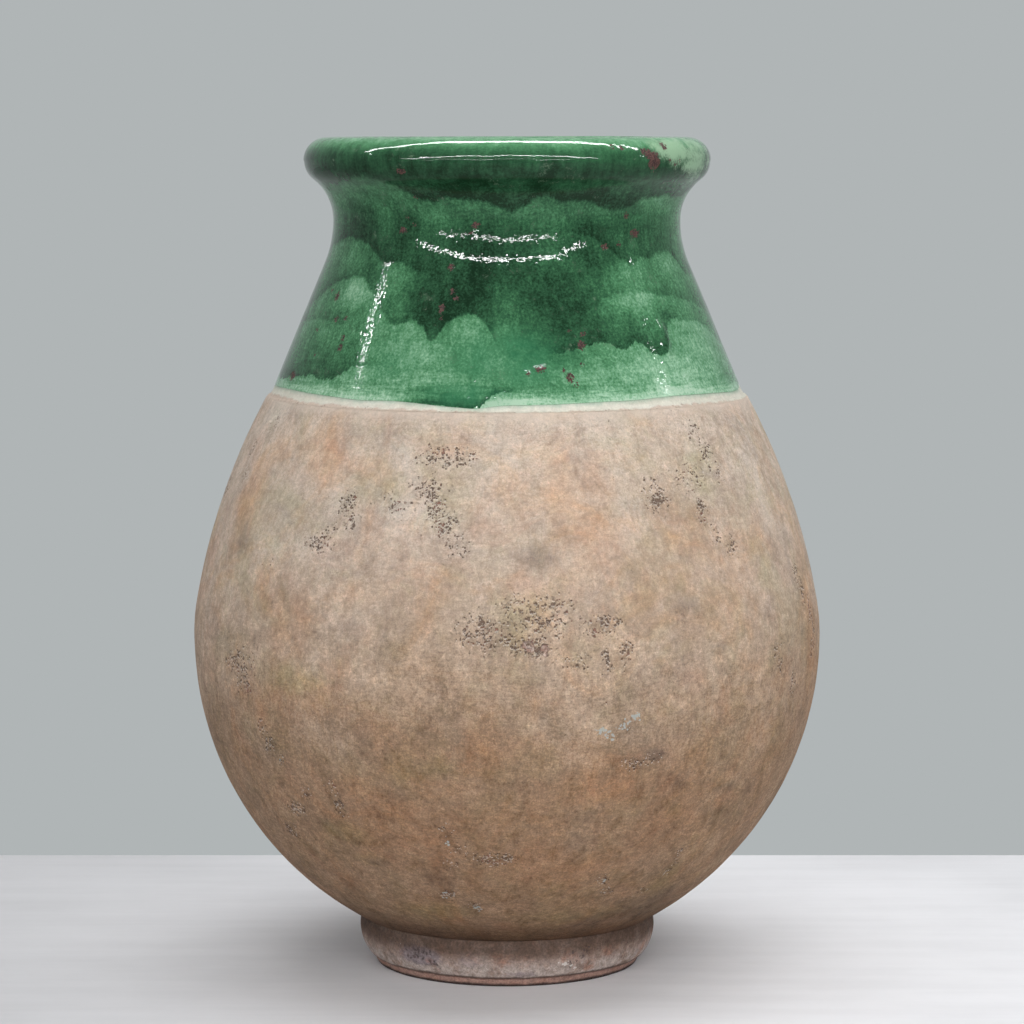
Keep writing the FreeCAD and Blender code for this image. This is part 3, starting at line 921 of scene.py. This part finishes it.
def washed_foot():
    """The foot: brown above, a limewashed edge over the turned step, dirty reddish clay on the sole."""
    shade = Shade("washed_foot")
    patch = shade.noise(0.030, 5, 0.68, twist=0.5)
    shade.ramp(patch, {0.3: (116, 91, 78), 0.5: (138, 114, 101), 0.7: (166, 147, 136)})
    level = shade.plus(shade.axis("Z"), shade.swing(shade.noise(0.02, 4, 0.6, shift=5), 0.004))
    rubbed = shade.step(shade.noise(0.016, 5, 0.7, shift=8), 0.32, 0.54)
    washed = shade.times(shade.step(level, 0.030, 0.014), rubbed)
    shade.paint(shade.times(washed, 0.8), 188, 174, 166)
    ash = shade.plus(shade.field("ash"), shade.noise(0.008, 5, 0.7, shift=3))
    shade.paint(shade.step(ash, 0.75, 1.35, 0.0, 0.85), 128, 116, 120)
    reddish = shade.step(shade.noise(0.018, 4, 0.65, shift=11), 0.52, 0.72, 0.0, 0.6)
    shade.paint(reddish, 160, 112, 92)
    sole = shade.step(level, sole_band_height + 0.0015, sole_band_height - 0.001, 0.0, 0.75)
    shade.cover(sole, shade.mix(patch, screen(138, 96, 80), screen(176, 134, 118)))
    # Painted shade: a dark line under the turned step above the sole band
    painted_step_shade = shade.times(shade.step(level, sole_band_height - 0.002, sole_band_height),
                         shade.step(level, sole_band_height + 0.0025, sole_band_height + 0.0005))
    shade.paint(shade.times(painted_step_shade, 0.8), 72, 54, 47)
    # Painted contact shadow along the bottom of the sole
    painted_contact_shadow = shade.step(level, 0.0038, 0.0012, 0.0, 0.94)
    shade.paint(painted_contact_shadow, 40, 29, 26)
    # Painted shade at the top of the foot, under the belly's overhang
    crease = shade.times(shade.step(level, foot_height - 0.020, foot_height - 0.007, 0.0, 0.85),
                         shade.step(patch, 0.30, 0.70, 1.0, 0.80))
    shade.paint(crease, 74, 55, 43)
    mottle = shade.noise(0.005, 5, 0.7, shift=2.7)
    speck = shade.noise(0.0016, 3, 0.6, shift=4.4)
    shade.grain(((mottle, 0.68, 1.28), (speck, 0.74, 1.24)))
    sunken = shade.flecks(shade.plus(shade.times(shade.field("pits"), 0.8), 0.06), pit_size)
    shade.paint(shade.filled(sunken, 0.7), 78, 64, 62)
    crust = shade.filled(shade.flecks(shade.field("lichen"), 0.003, 0.41), 0.85)
    shade.paint(crust, 214, 206, 200)
    normal = shade.bump(shade.step(sunken, 0.16, -0.20), 0.0009)
    normal = shade.bump(mottle, 0.0009, normal)
    return shade.surface(shade.step(mottle, 0.2, 0.8, 0.8, 0.95), clay_shine, normal)


def cream_slip():
    """The slip: pale cream, pinker where it thins out below and tinged green where the glaze begins."""
    shade = Shade("cream_slip")
    brushed = shade.noise(0.03, 4, 0.6, stretch=(1, 1, 6))
    shade.ramp(brushed, {0.3: (196, 192, 175), 0.7: (212, 209, 195)})
    ragged = shade.times(shade.swing(shade.noise(0.009, 5, 0.7), 0.011), 0.6)
    bare = shade.step(shade.plus(shade.field("slip"), ragged), 0.0012, -0.0006)
    shade.paint(bare, 190, 170, 153)
    tinge = shade.step(shade.plus(shade.field("edge"), ragged), -0.0038, 0.0010, 0.0, 0.75)
    shade.paint(tinge, 148, 176, 154)
    patches = shade.noise(0.006, 4, 0.7, shift=6.2)
    speck = shade.noise(0.0014, 2, 0.6)
    shade.grain(((patches, 0.90, 1.06), (speck, 0.92, 1.06)))
    cracked = shade.flecks(shade.step(shade.field("slip"), 0.003, 0.0, 0.0, 0.26), 0.0026)
    shade.paint(shade.filled(cracked, 0.5), 128, 106, 90)
    mottle = shade.noise(0.005, 4, 0.6)
    return shade.surface(shade.step(mottle, 0.2, 0.8, 0.5, 0.7), slip_shine, shade.bump(mottle, 0.0004))


def green_glaze():
    """Copper green glaze: pale where thin, dark where it pooled in curtains, chipped to the body."""
    shade = Shade("green_glaze")
    level = shade.axis("Z")
    edge = shade.field("edge")
    on_neck = shade.step(level, bead_level - 0.030, bead_level - 0.012, 1.0, 0.45)

    # Depth of the glaze: soft areas and the bead first, the bead's top partly a painted sheen
    depth = shade.plus(shade.times(shade.field("deep"), 0.36), 0.44)
    # The bead: darker from just under it through its middle, lighter at its top for thinner glaze and a
    # painted sheen
    bead = shade.times(shade.step(level, bead_level - 0.022, bead_level - 0.006),
                       shade.step(level, jar_height - 0.002, bead_level + 0.004, -0.55, 1.0))
    depth = shade.plus(depth, shade.times(bead, 0.23))
    depth = shade.minus(depth, shade.times(shade.field("pale"), 0.15))

    # Then the curtains, darkest along their frayed lower edges
    wander = shade.swing(shade.noise(0.012, 4, 0.65, stretch=(1, 1, 0.25)), 0.010)
    fray = shade.swing(shade.noise(0.0025, 3, 0.6, stretch=(1, 1, 0.3), shift=2), 0.005)
    edges = 0.0
    for name, curtain in curtains.items():
        over = shade.plus(shade.plus(shade.field(name), wander), fray)
        inside = shade.step(over, -curtain.softness * mm, curtain.softness * mm)
        fall = shade.maths("POWER", 0.3, shade.larger(shade.times(over, 1 / (curtain.reach * mm)), 0.0))
        dark = shade.times(shade.times(inside, fall), shade.field(name + "_strength"))
        depth = shade.plus(depth, shade.times(dark, curtain.depth))
        edges = shade.plus(dark, edges)

    # Then the unevenness: streaks, bands, clouds and specks, and brush strokes near the lower edge
    streaks = shade.noise(0.005, 4, 0.6, stretch=(1, 1, 0.12), shift=5.5)
    bands = shade.noise(0.03, 3, 0.5, stretch=(1, 1, 3), shift=8.2)
    clouds = shade.noise(0.024, 4, 0.6, shift=6.6, twist=0.6)
    speck = shade.noise(0.0020, 3, 0.65, shift=4.4)
    strokes = shade.noise(0.0032, 4, 0.65, stretch=(0.10, 0.10, 1), shift=2.9)
    stroked = shade.step(edge, 0.032, 0.004, 0.12, 0.60)
    specked = shade.times(on_neck, 0.80)
    mottling = ((streaks, 0.42), (bands, 0.22), (clouds, 0.34), (speck, specked), (strokes, stroked))
    for pattern, amount in mottling:
        depth = shade.plus(depth, shade.swing(pattern, amount))
    brushed = shade.swing(shade.noise(0.003, 3, 0.6, stretch=(0.12, 0.12, 1), shift=1.3), 0.014)
    thinning = shade.plus(shade.plus(edge, brushed), shade.times(wander, 0.6))
    feathered = shade.step(thinning, -0.001, 0.012, 0.30, 0.0)
    held = shade.minus(1.0, shade.maths("MINIMUM", shade.times(edges, 2.0), 1.0))
    depth = shade.minus(depth, shade.times(feathered, held))

    # Colour by depth, with an emerald area, the worn rim and chips
    shade.ramp(depth, {0.0: (170, 200, 174), 0.12: (148, 188, 156), 0.28: (112, 160, 124),
                       0.45: (77, 131, 91), 0.65: (51, 97, 65), 0.85: (32, 67, 44), 1.0: (15, 43, 24)})
    vivid = shade.times(shade.field("emerald"), shade.step(clouds, 0.3, 0.7, 0.3, 0.7))
    shade.paint(vivid, 50, 116, 80)
    blotch = shade.noise(0.012, 3, 0.55, shift=13.5)
    rubbed = shade.plus(shade.plus(shade.field("worn"), shade.swing(blotch, 1.6)), shade.swing(speck, 1.2))
    shade.paint(shade.step(rubbed, 0.20, 1.0, 0.0, 0.85), 148, 180, 148)
    broken = shade.swing(shade.noise(0.0018, 3, 0.65), 1.6)
    chips = shade.step(shade.plus(shade.field("chip"), broken), 0.60, 0.70)
    crumbling = shade.step(shade.noise(0.0014, 2, 0.5, shift=3.3), 0.4, 0.6)
    shade.cover(chips, shade.mix(crumbling, screen(54, 38, 36), screen(94, 64, 58)))

    peel = shade.noise(0.0050, 2, 0.5, shift=7.7)
    ripple = shade.noise(0.0032, 1, 0.5, shift=8.8)
    normal = shade.bump(shade.times(peel, on_neck), 0.00008)
    normal = shade.bump(shade.times(ripple, on_neck), 0.00014, normal)
    normal = shade.bump(shade.minus(shade.times(edges, 0.03), shade.times(chips, 0.3)), 0.0006, normal)
    return shade.surface(shade.larger(glaze_roughness, shade.times(chips, 0.75)), glaze_shine, normal)


def honey_lining():
    """The glaze inside: amber over the clay, streaked where it was poured round."""
    shade = Shade("honey_lining")
    pour = shade.noise(0.03, 5, 0.6, stretch=(1, 1, 0.2), twist=0.5)
    patch = shade.noise(0.05, 5, 0.6, shift=3)
    shade.ramp(shade.plus(shade.times(pour, 0.5), shade.times(patch, 0.5)),
               {0.35: (120, 76, 42), 0.5: (160, 108, 62), 0.65: (186, 138, 88)})
    pinholes = shade.filled(shade.flecks(0.08, 0.004), 0.7)
    shade.paint(pinholes, 80, 50, 34)
    normal = shade.bump(shade.noise(0.006, 3, 0.6), 0.0004)
    return shade.surface(shade.step(patch, 0.3, 0.7, 0.14, 0.3), lining_shine, normal)


def hidden_clay(name, dark, light):
    """Bare clay of the pieces that the coats and walls cover."""
    shade = Shade(name)
    patch = shade.noise(0.03, 6, 0.65, twist=0.4)
    shade.ramp(patch, {0.3: dark, 0.7: light})
    speck = shade.noise(0.003, 4, 0.65, shift=2)
    shade.grain(((speck, 0.82, 1.16),))
    pits = shade.filled(shade.flecks(0.12, pit_size))
    shade.paint(shade.times(pits, 0.6), 92, 66, 54)
    normal = shade.bump(shade.minus(1.0, pits), 0.0008)
    normal = shade.bump(speck, 0.0006, normal)
    return shade.surface(shade.step(speck, 0.2, 0.8, 0.82, 0.95), clay_shine, normal)


# The jar

make_foot(washed_foot())
belly_clay = limewashed_clay()
make_lower_belly(belly_clay)
make_upper_belly(belly_clay)
make_slip(cream_slip())
make_glaze(green_glaze())
bare_clay = hidden_clay("bare_clay", (150, 100, 76), (186, 136, 108))
luting_clay = hidden_clay("luting_clay", (160, 118, 94), (190, 150, 124))
dressed = {"base_slab": bare_clay, "neck": bare_clay, "rolled_rim": bare_clay, "luting_slip": luting_clay,
           "lining_glaze": honey_lining()}
for node, material in dressed.items():
    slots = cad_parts[node].data.materials
    slots.clear()
    slots.append(material)

# Stage: a pale floor, a grey wall behind it, soft light and the camera

wall_distance = 0.433
wall_reach = 6.0
floor_reach = 2.6
wall_grey = screen(176, 181, 182)
floor_pale = screen(222, 222, 225)
ambient_colour = (0.95, 0.98, 1.0, 1)
ambient_strength = 0.36
camera_place = Vector((0.0042, -3.07, 0.7115))
camera_dip = math.radians(6.1)
camera_lens = 128.07
aim = Vector((0, 0, 0.42))


def sheet(name, corners, material):
    mesh = bpy.data.meshes.new(name)
    mesh.from_pydata(corners, [], [(0, 1, 2, 3)])
    mesh.materials.append(material)
    put(name, mesh)


def floor_material():
    """A pale floor, a little darker at the left and lighter where the jar's shadow falls: painted light and
    shade.
    """
    shade = Shade("pale_floor")
    worn_patch = shade.noise(0.35, 6, 0.6)
    scuffs = shade.noise(0.12, 5, 0.6, stretch=(0.4, 4, 1))
    outward = shade.add("VectorMath", {0: shade.place}, output="Value", operation="LENGTH")
    shade.colour = floor_pale
    shade.grey(shade.step(worn_patch, 0.3, 0.7, 0.94, 1.04))
    shade.grey(shade.step(scuffs, 0.3, 0.7, 0.97, 1.02))
    # Painted shade: darker towards the left
    shade.grey(shade.step(shade.axis("X"), -0.75, 0.25, 0.73, 1.0))
    # Painted light: lighter near the jar, where its shadow falls
    shade.grey(shade.step(outward, 0.12, 0.60, 1.22, 1.0))
    return shade.surface(floor_roughness, floor_shine)


def wall_material():
    """A plain grey backdrop for the camera alone: it shows from the front and hides nothing from behind."""
    shade = Shade("grey_wall")
    seen = shade.add("LightPath", output="Is Camera Ray")
    front = shade.minus(1.0, shade.add("NewGeometry", output="Backfacing"))
    glow = shade.add("Emission", {"Color": wall_grey})
    clear = shade.add("BsdfTransparent")
    both = shade.add("MixShader", {0: shade.times(seen, front), 1: clear, 2: glow})
    shade.add("OutputMaterial", {"Surface": both})
    return shade.owner


def studio_light():
    """Even light from all round; the camera and reflections see the grey of the wall instead."""
    shade = Shade("studio", bpy.data.worlds)
    seen = shade.larger(shade.add("LightPath", output="Is Camera Ray"),
                        shade.add("LightPath", output="Is Glossy Ray"))
    ambient = shade.add("Background", {"Color": ambient_colour, "Strength": ambient_strength})
    shown = shade.add("Background", {"Color": wall_grey})
    shade.add("OutputWorld", {"Surface": shade.add("MixShader", {0: seen, 1: ambient, 2: shown})})
    return shade.owner


def lamp(name, start, end, thickness, watts, highlight=True):
    """A flat lamp from a start to an end, turned to face the jar: a highlight on the glaze, or soft light."""
    data = bpy.data.lights.new(name, "AREA")
    data.shape = "RECTANGLE"
    along = Vector(end) - Vector(start)
    data.size = along.length
    data.size_y = thickness
    data.energy = watts
    made = put(name, data)
    middle = Vector(start) + along / 2
    across = along.normalized()
    upward = (middle - aim).cross(across).normalized()
    made.matrix_basis = Matrix((across, upward, across.cross(upward))).transposed().to_4x4()
    made.location = middle
    made.visible_camera = False
    made.visible_glossy = highlight
    made.visible_diffuse = not highlight


def highlights(name, places, thickness, glow):
    """Thin lamps joined end to end along places, all equally bright."""
    for count, (start, end) in enumerate(zip(places, places[1:])):
        lamp(f"{name}_{count}", start, end, thickness, glow * thickness * math.dist(start, end))


sheet("floor", [(-floor_reach, -floor_reach, 0), (floor_reach, -floor_reach, 0),
                (floor_reach, floor_reach, 0), (-floor_reach, floor_reach, 0)], floor_material())
sheet("wall", [(-wall_reach, wall_distance, 0), (wall_reach, wall_distance, 0),
               (wall_reach, wall_distance, wall_reach), (-wall_reach, wall_distance, wall_reach)],
      wall_material())

lamp("top_light", (-1.3, 0.2, 2.7), (2.1, 0.2, 2.6), 2.2, 58, False)
lamp("front_light", (-1.8, -3.2, 1.5), (2.2, -2.9, 1.5), 1.6, 66, False)
highlights("rim", [(-1.96, 0.13, 1.86), (-1.25, 0.23, 2.52), (-0.55, 0.62, 2.72)], 0.14, 150)
highlights("rim_middle", [(-0.55, 0.72, 2.72), (0.60, 0.80, 2.68)], 0.42, 125)
highlights("rim_right", [(0.60, 0.72, 2.68), (0.97, 0.40, 2.63), (1.77, 0.15, 2.10)], 0.15, 150)
highlights("near", [(-5.33, -3.2, 2.02), (-3.38, -3.2, 2.50), (-1.60, -3.2, 2.64), (2.03, -3.2, 2.67),
                    (3.98, -3.2, 1.95)], 0.07, 560)
highlights("far", [(-2.99, -3.0, 1.12), (-0.93, -3.0, 1.26), (0.43, -3.0, 1.33), (2.03, -3.0, 1.34)],
           0.028, 560)
highlights("left", [(-2.045, -0.205, 1.585), (-2.02, -0.14, 1.68)], 0.032, 560)
highlights("right", [(2.05, -0.12, 1.48), (2.05, -0.10, 1.54)], 0.04, 360)

scene = bpy.context.scene
scene.world = studio_light()
camera = put("camera", bpy.data.cameras.new("camera"))
camera.data.lens = camera_lens
camera.location = camera_place
camera.rotation_euler = (math.pi / 2 - camera_dip, 0, 0)
scene.camera = camera
scene.view_settings.view_transform = "Standard"

bpy.context.view_layer.update()
